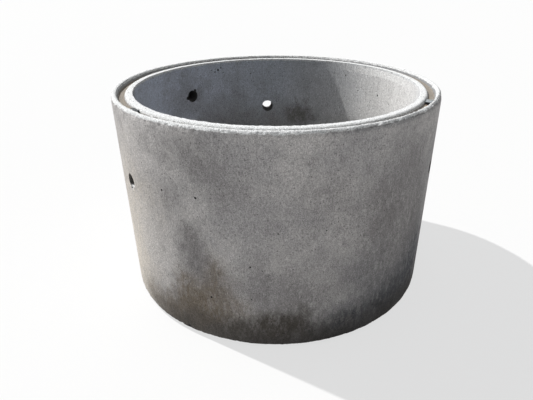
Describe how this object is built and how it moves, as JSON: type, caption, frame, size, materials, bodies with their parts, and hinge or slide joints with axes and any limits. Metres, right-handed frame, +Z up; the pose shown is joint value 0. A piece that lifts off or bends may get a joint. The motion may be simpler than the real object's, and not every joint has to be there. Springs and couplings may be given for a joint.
{
  "type": "concrete chamber ring",
  "caption": "Precast concrete chamber ring with a tongue-and-groove joint and lifting holes, standing on end with its groove up and packers lying in the groove.",
  "frame": {"origin": "on the ring's axis, on the floor that the tongue stands on", "axes": "+Z up the ring's axis, +Y away from the camera side, +X to the right as seen from the front"},
  "size_m": [1.1998, 1.2, 0.764],
  "materials": {
    "concrete": "dry-cast concrete, sandy and pitted, dirty towards the foot",
    "packer": "smooth black plastic with a faint sheen"
  },
  "bodies": {
    "root": {"concrete_ring": "concrete", "joint_packer_back": "packer", "joint_packer_left": "packer", "joint_packer_right": "packer"}
  },
  "joints": []
}
